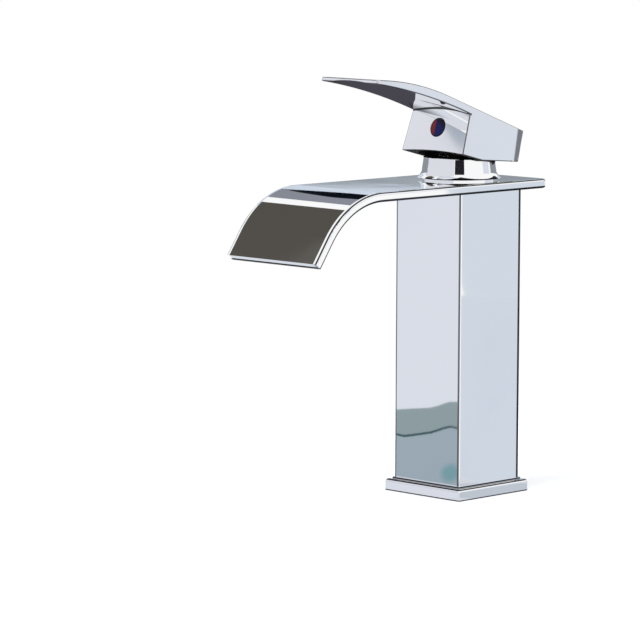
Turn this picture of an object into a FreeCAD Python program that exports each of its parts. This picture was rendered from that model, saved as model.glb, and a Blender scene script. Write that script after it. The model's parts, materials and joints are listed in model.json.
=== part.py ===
import FreeCAD, Part
import Sketcher
import math
import os

Vector = FreeCAD.Vector

# Waterfall basin mixer. +Z is up, the spout runs towards -Y, +X is to the right seen from the front.
# The origin is the centre of the foot, on the deck. Lengths are millimetres and angles degrees.
# The lever is drawn closed, about its pivot, then turned up by rest_lift to where it stands at rest.

dimensions = {
    # column
    "column_side": 45.0,
    "column_height": 148.4,
    "column_wall": 2.5,
    "column_edge_radius": 0.9,
    "corner_boss_side": 7.0,
    "boss_height": 12.0,
    # base flange and its gasket
    "flange_side": 52.0,
    "flange_height": 6.0,
    "flange_edge_radius": 1.5,
    "flange_corner_radius": 1.0,
    "plinth_height": 1.0,
    "plinth_overhang": 0.9,
    "gasket_width": 2.5,
    "gasket_thickness": 1.6,
    "gasket_inset": 2.0,
    # brass foot
    "block_height": 18.0,
    "inlet_spread": 8.0,
    "inlet_setback": 5.0,
    "inlet_thread_radius": 4.5,
    "inlet_thread_length": 9.0,
    "stud_thread_radius": 3.4,
    "stud_thread_length": 13.0,
    "stud_offset": 9.0,
    "waterway_radius": 3.0,
    "screw_spread": 16.4,
    "screw_radius": 1.5,
    "screw_reach": 9.0,
    "screw_head_radius": 2.7,
    "screw_head_height": 2.0,
    # risers
    "riser_radius": 4.0,
    "riser_wall": 1.0,
    "riser_socket_depth": 6.0,
    "riser_ring_wire": 0.65,
    "riser_ring_pocket_depth": 1.6,
    # valve body
    "valve_bottom_drop": 20.0,
    "valve_corner_radius": 2.0,
    "neck_wall": 1.0,
    "outlet_radius": 3.6,
    "outlet_offset": 8.0,
    "gallery_height": 4.0,
    "gallery_floor": 4.0,
    "corner_channel_radius": 2.0,
    "corner_channel_spread": 16.2,
    "spout_seal_wire": 0.45,
    "spout_seal_pocket_depth": 0.95,
    # spout
    "spout_width": 62.0,
    "spout_thickness": 4.6,
    "spout_rear": 34.2,
    "spout_bend_start": 87.0,
    "spout_bend_radius": 42.0,
    "spout_bend_angle": 55.0,
    "spout_lip_length": 14.5,
    "spout_skin": 1.3,
    "spout_lip_thickness": 2.7,
    "spout_lip_depth": 3.0,
    "spout_floor": 1.0,
    "spout_corner_radius": 5.0,
    "spout_edge_radius": 1.2,
    "spout_under_radius": 1.1,
    "spout_collar_wall": 1.0,
    # bonnet
    "bonnet_height": 11.5,
    "bonnet_base_radius": 21.4,
    "bonnet_waist_radius": 19.3,
    "bonnet_waist_height": 3.9,
    "bonnet_foot_height": 0.8,
    "bonnet_top_radius": 18.15,
    "bonnet_lip": 1.8,
    "bonnet_mouth_radius": 13.2,
    "bonnet_edge_radius": 0.7,
    "bonnet_seal_wire": 0.65,
    # cartridge
    "pivot_rise": 6.0,
    "seat_drop": 35.0,
    "cartridge_radius": 17.5,
    "cartridge_bore": 14.2,
    "cartridge_base_height": 6.0,
    "cartridge_base_flange": 2.0,
    "housing_height": 25.0,
    "housing_lip": 2.0,
    "port_radius": 3.2,
    "inlet_seal_width": 1.2,
    "inlet_seal_thickness": 1.4,
    "disc_height": 4.0,
    "moving_disc_radius": 9.8,
    "moving_disc_height": 3.5,
    "mixing_pocket_radius": 6.4,
    "mixing_pocket_depth": 2.0,
    "film_gap": 0.05,
    "carrier_height": 5.2,
    "carrier_width": 20.0,
    "carrier_depth": 14.0,
    "carrier_corner_radius": 3.0,
    "carrier_floor": 0.5,
    "foot_clearance": 0.12,
    "slip": 0.1,
    "turret_neck_radius": 12.4,
    "turret_rise": 3.5,
    "turret_ring_wire": 0.75,
    "nut_thread_radius": 18.6,
    "nut_skirt": 4.0,
    "nut_collar_radius": 16.0,
    "nut_collar_rise": 2.5,
    "nut_bore": 13.2,
    # stem
    "stem_width": 7.8,
    "stem_depth": 7.0,
    "stem_rise": 21.0,
    "stem_skirt": 5.0,
    "stem_arm": 18.0,
    "foot_radius": 2.6,
    "arm_radius": 1.8,
    "pin_radius": 1.5,
    "pin_length": 24.0,
    "pin_clearance": 0.05,
    # lever handle, drawn closed
    "rest_lift": 14.0,
    "close_lift": 14.0,
    "handle_clearance": 3.3,
    "handle_front": 21.5,
    "handle_front_top": 19.9,
    "handle_front_height": 24.5,
    "handle_rear": 24.4,
    "handle_rear_bottom": 8.4,
    "handle_heel": 6.6,
    "handle_rear_top": 23.7,
    "handle_rear_radius": 3.5,
    "handle_rear_ease": 1.3,
    "handle_crown": 36.0,
    "handle_crown_height": 30.0,
    "handle_reach": 88.7,
    "handle_tip_height": 27.2,
    "handle_tip_thickness": 2.0,
    "handle_underside_radius": 350.0,
    "handle_cover_gap": 0.85,
    "handle_top_width": 39.8,
    "handle_front_arch": 1.0,
    "handle_brow_arch": 1.8,
    "handle_brow_margin": 1.0,
    "handle_tip_width": 39.7,
    "handle_corner_radius": 7.5,
    "handle_tip_radius": 1.5,
    "handle_edge_radius": 0.6,
    "handle_wall": 2.2,
    "handle_roof": 20.0,
    "cavity_corner_radius": 12.0,
    "socket_boss_radius": 8.5,
    "socket_boss_drop": 9.5,
    "socket_slip": 0.05,
    "set_screw_radius": 2.5,
    "set_screw_length": 7.0,
    "set_screw_bore_slip": 0.1,
    "hex_socket_radius": 1.3,
    "hex_socket_depth": 3.0,
    # indicator
    "plug_radius": 4.6,
    "plug_height": 16.4,
    "plug_thickness": 2.0,
    "plug_crown": 0.35,
    "plug_recess_slip": 0.1,
    "plug_bevel": 0.35,
}

levels = {
    "column_bottom": "flange_height + plinth_height",
    "column_top": "column_bottom + column_height",
    "column_inner": "column_side - 2 * column_wall",
    "block_side": "column_inner - 6 * slip",
    "boss_near": "column_inner / 2 - corner_boss_side",
    "opening_side": "block_side + 4 * slip",
    "gasket_outer": "flange_side - 2 * gasket_inset",
    "spout_top": "column_top + spout_thickness",
    "pivot_level": "spout_top + pivot_rise",
    "seat_level": "pivot_level - seat_drop",
    "valve_bottom": "seat_level - valve_bottom_drop",
    "valve_side": "column_inner - 4 * slip",
    "cup_radius": "cartridge_radius + slip",
    "thread_bore": "nut_thread_radius + 0.5 * slip",
    "neck_radius": "thread_bore + neck_wall",
    "spout_hole_radius": "neck_radius + slip",
    "collar_radius": "spout_hole_radius + spout_collar_wall",
    "housing_top": "seat_level + housing_height",
    "base_top": "seat_level + cartridge_base_height",
    "disc_top": "base_top + disc_height",
    "moving_bottom": "disc_top + film_gap",
    "moving_top": "moving_bottom + moving_disc_height",
    "carrier_top": "moving_top + carrier_height",
    "turret_radius": "cartridge_bore - slip",
    "turret_shoulder": "housing_top - housing_lip - slip",
    "turret_top": "pivot_level + turret_rise",
    "thread_bottom": "housing_top - nut_skirt",
    "collar_top": "pivot_level + nut_collar_rise",
    "foot_level": "pivot_level - stem_arm",
    "socket_bottom": "block_height - riser_socket_depth",
    "riser_top": "valve_bottom + riser_socket_depth",
    "riser_ring_major": "riser_radius + riser_ring_wire + 0.5 * slip",
    "riser_pocket_radius": "riser_ring_major + riser_ring_wire + 0.5 * slip",
    "spout_seal_major": "corner_channel_radius + spout_seal_wire",
    "spout_pocket_radius": "spout_seal_major + spout_seal_wire + 0.5 * slip",
    "bonnet_top": "spout_top + bonnet_height",
    "bonnet_bore": "nut_collar_radius + 0.5 * slip",
    "bonnet_seal_major": "bonnet_bore + bonnet_seal_wire + slip",
    "bonnet_seal_pocket": "bonnet_seal_major + bonnet_seal_wire + slip",
    "turret_ring_major": "turret_radius - turret_ring_wire",
    "gallery_bottom": "valve_bottom + gallery_floor",
    "handle_base_width": "2 * (bonnet_top_radius + handle_cover_gap + handle_wall)",
    "front_rise": "handle_front_height - handle_clearance",
    "side_lean": "(handle_base_width - handle_top_width) / 2 / front_rise",
    "crown_rise": "handle_crown_height - handle_rear_top",
    "crown_lean": "atan(crown_rise / (handle_crown + handle_rear)) / 1 deg",
    "rear_run": "handle_rear_radius * tan((90 - crown_lean) / 2)",
    "tip_run": "handle_reach - handle_crown",
    "tip_dip": "atan((handle_crown_height - handle_tip_height) / tip_run) / 1 deg",
    "crown_radius": "tip_run / cos(tip_dip) / (2 * sin(crown_lean + tip_dip))",
    "face_lean": "atan((handle_front - handle_front_top) / front_rise) / 1 deg",
    "brow_half": "handle_top_width / 2 - handle_brow_margin",
    "brow_radius": "(brow_half * brow_half / handle_brow_arch + handle_brow_arch) / 2",
    "base_half": "handle_base_width / 2",
    "arch_radius": "(base_half * base_half / handle_front_arch + handle_front_arch) / 2",
    "plug_lean": "rest_lift + face_lean",
    "plug_out": "handle_front - (plug_height - handle_clearance) * tan(plug_lean - rest_lift)",
    "plug_y": "-plug_out * cos(rest_lift) + plug_height * sin(rest_lift)",
    "plug_z": "pivot_level + plug_out * sin(rest_lift) + plug_height * cos(rest_lift)",
}

document = FreeCAD.newDocument("waterfall_mixer")


def fill_sheet(name, rows):
    """One named cell for each value; a later row may use an earlier one."""
    sheet = document.addObject("Spreadsheet::Sheet", name)
    for row, (alias, content) in enumerate(rows.items(), start=1):
        sheet.set(f"A{row}", alias)
        sheet.set(f"B{row}", content)
        sheet.setAlias(f"B{row}", alias)
    document.recompute()
    return sheet


def qualified(text, inside="Levels"):
    """Give each named value in an expression the sheet that holds it."""
    words = []
    for word in text.replace("(", " ( ").replace(")", " ) ").split():
        sign = "-" if word.startswith("-") and len(word) > 1 else ""
        name = word[len(sign):]
        if name in dimensions:
            name = f"Dims.{name}"
        elif name in levels and inside != "Levels":
            name = f"Levels.{name}"
        elif name in ("sin", "cos", "tan", "atan", "sqrt"):
            pass
        words.append(sign + name)
    joined = " ".join(words)
    for function in ("sin", "cos", "tan", "atan", "sqrt"):
        joined = joined.replace(f"{function} (", f"{function}(")
    return joined


dims = fill_sheet("Dims", {name: repr(size) for name, size in dimensions.items()})
level_sheet = fill_sheet("Levels", {name: "=" + qualified(text) for name, text in levels.items()})


def value(text):
    """The number that an expression of named values gives now."""
    return float(level_sheet.evalExpression(qualified(text)))


def bind(target, prop, text):
    target.setExpression(prop, qualified(text, inside="model"))


# Sketches and features

def origin_feature(body, role):
    return next(item for item in body.Origin.OriginFeatures if item.Role == role)


def new_body(label):
    body = document.addObject("PartDesign::Body", label)
    body.Label = label
    return body


def new_sketch(body, plane, offset=None):
    """A sketch on one of the body's own origin planes, moved along the plane's normal."""
    sketch = body.newObject("Sketcher::SketchObject", f"{body.Label}_outline")
    sketch.AttachmentSupport = [(origin_feature(body, plane), "")]
    sketch.MapMode = "FlatFace"
    if offset is not None:
        bind(sketch, "AttachmentOffset.Base.z", offset)
    return sketch


def constrain(sketch, kind, geometry, point, text):
    number = value(text)
    if kind == "Radius":
        index = sketch.addConstraint(Sketcher.Constraint(kind, geometry, number))
    else:
        index = sketch.addConstraint(Sketcher.Constraint(kind, geometry, point, number))
    bind(sketch, f"Constraints[{index}]", text)


def draw_circle(sketch, x, y, radius):
    centre = Vector(value(x), value(y), 0)
    index = sketch.addGeometry(Part.Circle(centre, Vector(0, 0, 1), value(radius)), False)
    constrain(sketch, "DistanceX", index, 3, x)
    constrain(sketch, "DistanceY", index, 3, y)
    constrain(sketch, "Radius", index, 0, radius)


def arc_between(start, end, radius, turn):
    """The short arc from start to end; turn is 'left' where it curves to the left."""
    chord = end - start
    middle = (start + end) * 0.5
    rise = math.sqrt(max(radius ** 2 - (chord.Length / 2) ** 2, 0))
    normal = Vector(-chord.y, chord.x, 0).normalize()
    centre = middle + normal * (rise if turn == "left" else -rise)
    first, last = (start, end) if turn == "left" else (end, start)
    begin = math.atan2(first.y - centre.y, first.x - centre.x)
    finish = math.atan2(last.y - centre.y, last.x - centre.x)
    return Part.ArcOfCircle(Part.Circle(centre, Vector(0, 0, 1), radius), begin, finish)


def draw_outline(sketch, corners):
    """A closed outline. Each corner is (x, y), or (x, y, turn, radius) where an arc starts."""
    places = [Vector(value(corner[0]), value(corner[1]), 0) for corner in corners]
    ends = []
    for number, corner in enumerate(corners):
        start = places[number]
        end = places[(number + 1) % len(corners)]
        if len(corner) == 4:
            turn, radius = corner[2:]
            index = sketch.addGeometry(arc_between(start, end, value(radius), turn), False)
            ends.append((index, 1, 2) if turn == "left" else (index, 2, 1))
        else:
            index = sketch.addGeometry(Part.LineSegment(start, end), False)
            ends.append((index, 1, 2))
    for number, (index, first, _) in enumerate(ends):
        before = ends[number - 1]
        sketch.addConstraint(Sketcher.Constraint("Coincident", before[0], before[2], index, first))
    for (index, first, _), corner in zip(ends, corners):
        constrain(sketch, "DistanceX", index, first, corner[0])
        constrain(sketch, "DistanceY", index, first, corner[1])
        if len(corner) == 4:
            constrain(sketch, "Radius", index, 0, corner[3])


def draw_rectangle(sketch, left, right, low, high, radius=None):
    """A rectangle, with rounded corners where a radius is given."""
    if radius is None:
        draw_outline(sketch, [(left, low), (right, low), (right, high), (left, high)])
        return
    draw_outline(sketch, [
        (f"{left} + {radius}", low),
        (f"{right} - {radius}", low, "left", radius),
        (right, f"{low} + {radius}"),
        (right, f"{high} - {radius}", "left", radius),
        (f"{right} - {radius}", high),
        (f"{left} + {radius}", high, "left", radius),
        (left, f"{high} - {radius}"),
        (left, f"{low} + {radius}", "left", radius),
    ])


def draw_square(sketch, side, radius=None):
    draw_rectangle(sketch, f"-1 * {side} / 2", f"{side} / 2", f"-1 * {side} / 2", f"{side} / 2", radius)


def pad(body, sketch, length, both=False):
    feature = body.newObject("PartDesign::Pad", f"{body.Label}_pad")
    feature.Profile = sketch
    feature.Midplane = both
    bind(feature, "Length", length)
    document.recompute()
    return feature


def pocket(body, sketch, length, upwards=True, both=False):
    """Cut away from the sketch's plane, upwards or down, and make sure that something was cut."""
    before = body.Shape.Volume
    feature = body.newObject("PartDesign::Pocket", f"{body.Label}_pocket")
    feature.Profile = sketch
    feature.Midplane = both
    feature.Reversed = upwards and not both
    bind(feature, "Length", length)
    document.recompute()
    if body.Shape.Volume >= before:
        raise RuntimeError(f"{feature.Name} cut nothing")
    return feature


def revolve(body, corners):
    """Turn an outline of radius and height about the body's upright axis."""
    sketch = new_sketch(body, "XZ_Plane")
    draw_outline(sketch, corners)
    feature = body.newObject("PartDesign::Revolution", f"{body.Label}_turned")
    feature.Profile = sketch
    feature.ReferenceAxis = (origin_feature(body, "Z_Axis"), [""])
    feature.Angle = 360
    document.recompute()
    return feature


def fillet(body, wanted, radius):
    """Round the edges of the body that the test wants."""
    shape = body.Shape
    base = body.Tip
    names = [f"Edge{number}" for number, edge in enumerate(shape.Edges, start=1) if wanted(edge)]
    feature = body.newObject("PartDesign::Fillet", f"{body.Label}_rounding")
    feature.Base = (base, names)
    bind(feature, "Radius", radius)
    document.recompute()
    return feature


flatness = 0.01
edge_window = 0.1


def is_upright(edge):
    box = edge.BoundBox
    return box.XLength < flatness and box.YLength < flatness


def at_level(edge, text):
    box = edge.BoundBox
    return box.ZLength < flatness and abs(box.ZMin - value(text)) < flatness


def middle_of(edge):
    first, last = edge.ParameterRange
    return edge.valueAt((first + last) / 2)


def cylinder(name, radius, height, place=("0", "0", "0")):
    """An upright round bar with its lower end at the given place."""
    bar = document.addObject("Part::Cylinder", name)
    bind(bar, "Radius", radius)
    bind(bar, "Height", height)
    for axis, text in zip("xyz", place):
        bind(bar, f"Placement.Base.{axis}", text)
    return bar


def ring(name, major, wire, place):
    torus = document.addObject("Part::Torus", name)
    bind(torus, "Radius1", major)
    bind(torus, "Radius2", wire)
    for axis, text in zip("xyz", place):
        bind(torus, f"Placement.Base.{axis}", text)
    return torus


def group(label, members):
    """Separate solids that share one node."""
    compound = document.addObject("Part::Compound", label)
    compound.Links = members
    compound.Label = label
    document.recompute()
    return compound


def cut(label, base, tools):
    result = base
    for number, tool in enumerate(tools, start=1):
        name = label if number == len(tools) else f"{label}_cut_{number}"
        step = document.addObject("Part::Cut", name)
        step.Base = result
        step.Tool = tool
        result = step
    result.Label = label
    document.recompute()
    return result


parts = []


# Foot and column

def make_base_flange():
    body = new_body("base_flange")
    outer = new_sketch(body, "XY_Plane")
    draw_square(outer, "flange_side", "flange_corner_radius")
    pad(body, outer, "flange_height")
    fillet(body, lambda edge: at_level(edge, "flange_height"), "flange_edge_radius")
    plinth = new_sketch(body, "XY_Plane", "flange_height - slip")
    draw_square(plinth, "(column_side + 2 * plinth_overhang)", "flange_corner_radius")
    pad(body, plinth, "plinth_height + slip")
    opening = new_sketch(body, "XY_Plane")
    draw_square(opening, "opening_side")
    pocket(body, opening, "column_bottom")
    groove = new_sketch(body, "XY_Plane")
    draw_square(groove, "gasket_outer")
    draw_square(groove, "(gasket_outer - 2 * gasket_width)")
    pocket(body, groove, "gasket_thickness")
    parts.append(body)


def make_deck_gasket():
    body = new_body("deck_gasket")
    strip = new_sketch(body, "XY_Plane")
    draw_square(strip, "(gasket_outer - slip)")
    draw_square(strip, "(gasket_outer - 2 * gasket_width + slip)")
    pad(body, strip, "gasket_thickness")
    parts.append(body)


def draw_corner_squares(sketch, near, far):
    """One square in each corner, from near to far on both axes."""
    spans = [(near, far), (f"-1 * {far}", f"-1 * {near}")]
    for left, right in spans:
        for low, high in spans:
            draw_rectangle(sketch, left, right, low, high)


def draw_four(sketch, spread, radius):
    for x in (spread, f"-1 * {spread}"):
        for y in (spread, f"-1 * {spread}"):
            draw_circle(sketch, x, y, radius)


def make_column_shell():
    body = new_body("column_shell")
    walls = new_sketch(body, "XY_Plane", "column_bottom")
    draw_square(walls, "column_side")
    draw_square(walls, "column_inner")
    pad(body, walls, "column_height")
    outer = value("column_side / 2") - edge_window
    fillet(body, lambda edge: is_upright(edge) and abs(middle_of(edge).x) > outer, "column_edge_radius")
    corner = "(column_inner / 2 + column_wall / 2)"
    bosses = new_sketch(body, "XY_Plane", "block_height")
    draw_corner_squares(bosses, "boss_near", corner)
    pad(body, bosses, "boss_height")
    ledges = new_sketch(body, "XY_Plane", "valve_bottom - boss_height")
    draw_corner_squares(ledges, "boss_near", corner)
    pad(body, ledges, "boss_height")
    holes = new_sketch(body, "XY_Plane", "block_height")
    draw_four(holes, "screw_spread", "(screw_radius + slip / 2)")
    pocket(body, holes, "boss_height")
    parts.append(body)


inlet_places = [("-1 * inlet_spread", "inlet_setback"), ("inlet_spread", "inlet_setback")]


def bore_at(body, level, places, radius, length, upwards=True):
    sketch = new_sketch(body, "XY_Plane", level)
    for x, y in places:
        draw_circle(sketch, x, y, radius)
    return pocket(body, sketch, length, upwards)


def make_mounting_block():
    body = new_body("mounting_block")
    block = new_sketch(body, "XY_Plane")
    draw_square(block, "block_side")
    pad(body, block, "block_height")
    bore_at(body, None, inlet_places, "inlet_thread_radius", "inlet_thread_length")
    bore_at(body, None, inlet_places, "waterway_radius", "block_height")
    bore_at(body, "socket_bottom", inlet_places, "(riser_radius + slip / 2)", "riser_socket_depth")
    pocket_level = "block_height - riser_ring_pocket_depth"
    bore_at(body, pocket_level, inlet_places, "riser_pocket_radius", "riser_ring_pocket_depth")
    bore_at(body, None, [("0", "-1 * stud_offset")], "stud_thread_radius", "stud_thread_length")
    screws = new_sketch(body, "XY_Plane")
    draw_four(screws, "screw_spread", "(screw_radius + slip / 2)")
    pocket(body, screws, "block_height")
    heads = new_sketch(body, "XY_Plane")
    draw_four(heads, "screw_spread", "(screw_head_radius + slip)")
    pocket(body, heads, "screw_head_height + 5 * slip")
    parts.append(body)


def make_block_screws():
    screws = []
    for side in (1, -1):
        for end in (1, -1):
            place = (f"{side} * screw_spread", f"{end} * screw_spread")
            name = f"screw_{len(screws)}"
            head_level = "5 * slip"
            head = cylinder(f"{name}_head", "screw_head_radius", "screw_head_height", (*place, head_level))
            shank_height = "block_height + screw_reach - 5 * slip"
            shank = cylinder(f"{name}_shank", "screw_radius", shank_height, (*place, head_level))
            screw = document.addObject("Part::Fuse", name)
            screw.Base = head
            screw.Tool = shank
            screws.append(screw)
    parts.append(group("block_screws", screws))


def make_riser(label, place):
    body = new_body(label)
    tube = new_sketch(body, "XY_Plane", "socket_bottom")
    draw_circle(tube, *place, "riser_radius")
    draw_circle(tube, *place, "(riser_radius - riser_wall)")
    pad(body, tube, "riser_top - socket_bottom")
    parts.append(body)


def make_riser_o_rings():
    lower = "block_height - riser_ring_pocket_depth / 2"
    upper = "valve_bottom + riser_ring_pocket_depth / 2"
    rings = []
    for x, y in inlet_places:
        for level in (lower, upper):
            name = f"riser_ring_{len(rings)}"
            rings.append(ring(name, "riser_ring_major", "riser_ring_wire", (x, y, level)))
    parts.append(group("riser_o_rings", rings))


# Valve body

corner_places = [("corner_channel_spread", "-1 * corner_channel_spread"),
                 ("-1 * corner_channel_spread", "-1 * corner_channel_spread")]


def make_valve_body():
    body = new_body("valve_body")
    block = new_sketch(body, "XY_Plane", "valve_bottom")
    draw_square(block, "valve_side", "valve_corner_radius")
    pad(body, block, "column_top - valve_bottom")
    neck = new_sketch(body, "XY_Plane", "column_top")
    draw_circle(neck, "0", "0", "neck_radius")
    pad(body, neck, "spout_thickness")
    bore_at(body, "seat_level", [("0", "0")], "cup_radius", "spout_top - seat_level")
    bore_at(body, "thread_bottom", [("0", "0")], "thread_bore", "spout_top - thread_bottom")
    bore_at(body, "valve_bottom", inlet_places, "waterway_radius", "seat_level - valve_bottom")
    bore_at(body, "valve_bottom", inlet_places, "(riser_radius + slip / 2)", "riser_socket_depth")
    bore_at(body, "valve_bottom", inlet_places, "riser_pocket_radius", "riser_ring_pocket_depth")
    outlet = [("0", "-1 * outlet_offset")]
    bore_at(body, "gallery_bottom", outlet, "outlet_radius", "seat_level - gallery_bottom")
    gallery = new_sketch(body, "XY_Plane", "gallery_bottom")
    wide = "(corner_channel_spread + corner_channel_radius)"
    inner = "(corner_channel_spread - corner_channel_radius)"
    narrow = "(outlet_offset - outlet_radius)"
    draw_outline(gallery, [
        (f"-1 * {wide}", f"-1 * {wide}"),
        (wide, f"-1 * {wide}"),
        (wide, f"-1 * {inner}"),
        (narrow, f"-1 * {narrow}"),
        (f"-1 * {narrow}", f"-1 * {narrow}"),
        (f"-1 * {wide}", f"-1 * {inner}"),
    ])
    pocket(body, gallery, "gallery_height")
    bore_at(body, "gallery_bottom", corner_places, "corner_channel_radius", "column_top - gallery_bottom")
    pocket_level = "column_top - spout_seal_pocket_depth"
    bore_at(body, pocket_level, corner_places, "spout_pocket_radius", "spout_seal_pocket_depth")
    parts.append(body)


def make_spout_seals():
    level = "column_top - spout_seal_wire"
    rings = [ring(f"spout_ring_{number}", "spout_seal_major", "spout_seal_wire", (*place, level))
             for number, place in enumerate(corner_places)]
    parts.append(group("spout_seals", rings))


# Spout

def spout_run(depth, length):
    """Points of the line this deep under the spout's upper face, running this far past the bend."""
    radius = f"(spout_bend_radius + spout_thickness - {depth})"
    centre = "(column_top - spout_bend_radius)"
    bend_y = f"(-1 * spout_bend_start - {radius} * sin(spout_bend_angle))"
    bend_z = f"({centre} + {radius} * cos(spout_bend_angle))"
    tip_y = f"({bend_y} - {length} * cos(spout_bend_angle))"
    tip_z = f"({bend_z} - {length} * sin(spout_bend_angle))"
    return {"start": ("-1 * spout_bend_start", f"({centre} + {radius})"), "radius": radius,
            "bend": (bend_y, bend_z), "tip": (tip_y, tip_z)}


def draw_sheet(sketch, rear, top_depth, low_depth, length="spout_lip_length"):
    """The side view of a sheet that follows the spout, between two depths under its upper face."""
    top = spout_run(top_depth, length)
    low = spout_run(low_depth, length)
    draw_outline(sketch, [
        (rear, top["start"][1]),
        (*top["start"], "left", top["radius"]),
        top["bend"],
        top["tip"],
        low["tip"],
        (*low["bend"], "right", low["radius"]),
        low["start"],
        (rear, low["start"][1]),
    ])


def make_spout_top_plate():
    body = new_body("spout_top_plate")
    side = new_sketch(body, "YZ_Plane")
    draw_sheet(side, "spout_rear", "0", "spout_thickness")
    pad(body, side, "spout_width", both=True)
    hollow = new_sketch(body, "YZ_Plane")
    draw_sheet(hollow, "(spout_rear - spout_skin)", "spout_skin", "spout_thickness",
               "(spout_lip_length - spout_lip_depth)")
    pocket(body, hollow, "spout_width - 2 * spout_skin", both=True)
    mouth = new_sketch(body, "YZ_Plane")
    draw_sheet(mouth, "(-1 * spout_bend_start + spout_thickness)", "spout_lip_thickness", "spout_thickness")
    pocket(body, mouth, "spout_width - 2 * spout_skin", both=True)
    rear = value("spout_rear") - edge_window
    inner = value("spout_rear - spout_skin") - edge_window
    fillet(body, lambda edge: is_upright(edge) and inner < middle_of(edge).y < rear,
           "(spout_corner_radius - spout_skin)")
    fillet(body, lambda edge: is_upright(edge) and middle_of(edge).y > rear, "spout_corner_radius")
    fillet(body, lambda edge: at_level(edge, "spout_top") and middle_of(edge).y > rear, "spout_edge_radius")
    fillet(body, lambda edge: at_level(edge, "column_top") and middle_of(edge).y > rear, "spout_under_radius")
    bore_at(body, "column_top", [("0", "0")], "spout_hole_radius", "spout_thickness")
    parts.append(body)


def make_spout_tray():
    body = new_body("spout_tray")
    side = new_sketch(body, "YZ_Plane")
    rear = "(spout_rear - spout_skin - slip / 2)"
    draw_sheet(side, rear, "(spout_thickness - spout_floor)", "spout_thickness")
    pad(body, side, "spout_width - 2 * spout_skin - slip", both=True)
    back = value(rear) - edge_window
    fillet(body, lambda edge: is_upright(edge) and middle_of(edge).y > back,
           "(spout_corner_radius - spout_skin)")
    collar = new_sketch(body, "XY_Plane", "column_top")
    draw_circle(collar, "0", "0", "collar_radius")
    pad(body, collar, "spout_thickness - spout_skin")
    bore_at(body, "column_top", [("0", "0")], "spout_hole_radius", "spout_thickness")
    bore_at(body, "column_top", corner_places, "corner_channel_radius", "spout_floor")
    parts.append(body)


# Bonnet, nut and cartridge

def make_bonnet():
    body = new_body("bonnet")
    revolve(body, [
        ("bonnet_bore", "spout_top + bonnet_seal_wire * 2 + slip"),
        ("bonnet_seal_pocket", "spout_top + bonnet_seal_wire * 2 + slip"),
        ("bonnet_seal_pocket", "spout_top"),
        ("bonnet_base_radius", "spout_top"),
        ("bonnet_base_radius", "spout_top + bonnet_foot_height", "right", "bonnet_waist_height"),
        ("bonnet_waist_radius", "spout_top + bonnet_waist_height"),
        ("bonnet_top_radius", "bonnet_top"),
        ("bonnet_mouth_radius", "bonnet_top"),
        ("bonnet_mouth_radius", "bonnet_top - bonnet_lip"),
        ("bonnet_bore", "bonnet_top - bonnet_lip"),
    ])
    rim = value("bonnet_top_radius") - edge_window
    fillet(body, lambda edge: at_level(edge, "bonnet_top") and edge.BoundBox.XMax > rim, "bonnet_edge_radius")
    parts.append(body)


def make_bonnet_seal():
    place = ("0", "0", "spout_top + bonnet_seal_wire")
    parts.append(ring("bonnet_seal", "bonnet_seal_major", "bonnet_seal_wire", place))


def make_cartridge_nut():
    body = new_body("cartridge_nut")
    revolve(body, [
        ("cup_radius", "thread_bottom"),
        ("nut_thread_radius", "thread_bottom"),
        ("nut_thread_radius", "spout_top"),
        ("nut_collar_radius", "spout_top"),
        ("nut_collar_radius", "collar_top"),
        ("nut_bore", "collar_top"),
        ("nut_bore", "housing_top"),
        ("cup_radius", "housing_top"),
    ])
    parts.append(body)


def make_cartridge_base():
    body = new_body("cartridge_base")
    revolve(body, [
        ("0", "seat_level"),
        ("cartridge_radius", "seat_level"),
        ("cartridge_radius", "seat_level + cartridge_base_flange"),
        ("cartridge_bore - slip / 2", "seat_level + cartridge_base_flange"),
        ("cartridge_bore - slip / 2", "base_top"),
        ("0", "base_top"),
    ])
    ports = inlet_places + [("0", "-1 * outlet_offset")]
    bore_at(body, "seat_level", ports, "port_radius", "cartridge_base_height")
    bore_at(body, "seat_level", ports, "(port_radius + inlet_seal_width)", "inlet_seal_thickness")
    parts.append(body)


def make_inlet_seals():
    seals = []
    for x, y in inlet_places + [("0", "-1 * outlet_offset")]:
        name = f"inlet_seal_{len(seals)}"
        place = (x, y, "seat_level")
        rim_radius = "port_radius + inlet_seal_width - slip / 2"
        rim = cylinder(f"{name}_rim", rim_radius, "inlet_seal_thickness", place)
        hole = cylinder(f"{name}_hole", "port_radius", "inlet_seal_thickness", place)
        seals.append(cut(name, rim, [hole]))
    parts.append(group("inlet_seals", seals))


def make_fixed_disc():
    body = new_body("fixed_ceramic_disc")
    plate = new_sketch(body, "XY_Plane", "base_top")
    draw_circle(plate, "0", "0", "cartridge_bore - slip")
    for x, y in inlet_places + [("0", "-1 * outlet_offset")]:
        draw_circle(plate, x, y, "port_radius")
    pad(body, plate, "disc_height")
    parts.append(body)


def make_moving_disc():
    body = new_body("moving_ceramic_disc")
    plate = new_sketch(body, "XY_Plane", "moving_bottom")
    draw_circle(plate, "0", "0", "moving_disc_radius")
    pad(body, plate, "moving_disc_height")
    bore_at(body, "moving_bottom", [("0", "0")], "mixing_pocket_radius", "mixing_pocket_depth")
    parts.append(body)


def make_disc_carrier():
    body = new_body("disc_carrier")
    plate = new_sketch(body, "XY_Plane", "moving_top")
    draw_rectangle(plate, "-1 * carrier_width / 2", "carrier_width / 2", "-1 * carrier_depth / 2",
                   "carrier_depth / 2", "carrier_corner_radius")
    pad(body, plate, "carrier_height")
    slot = new_sketch(body, "XY_Plane", "moving_top + carrier_floor")
    half = "(foot_radius + foot_clearance)"
    draw_rectangle(slot, f"-1 * {half}", half, f"-1 * {half}", half)
    pocket(body, slot, "carrier_height")
    parts.append(body)


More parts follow.
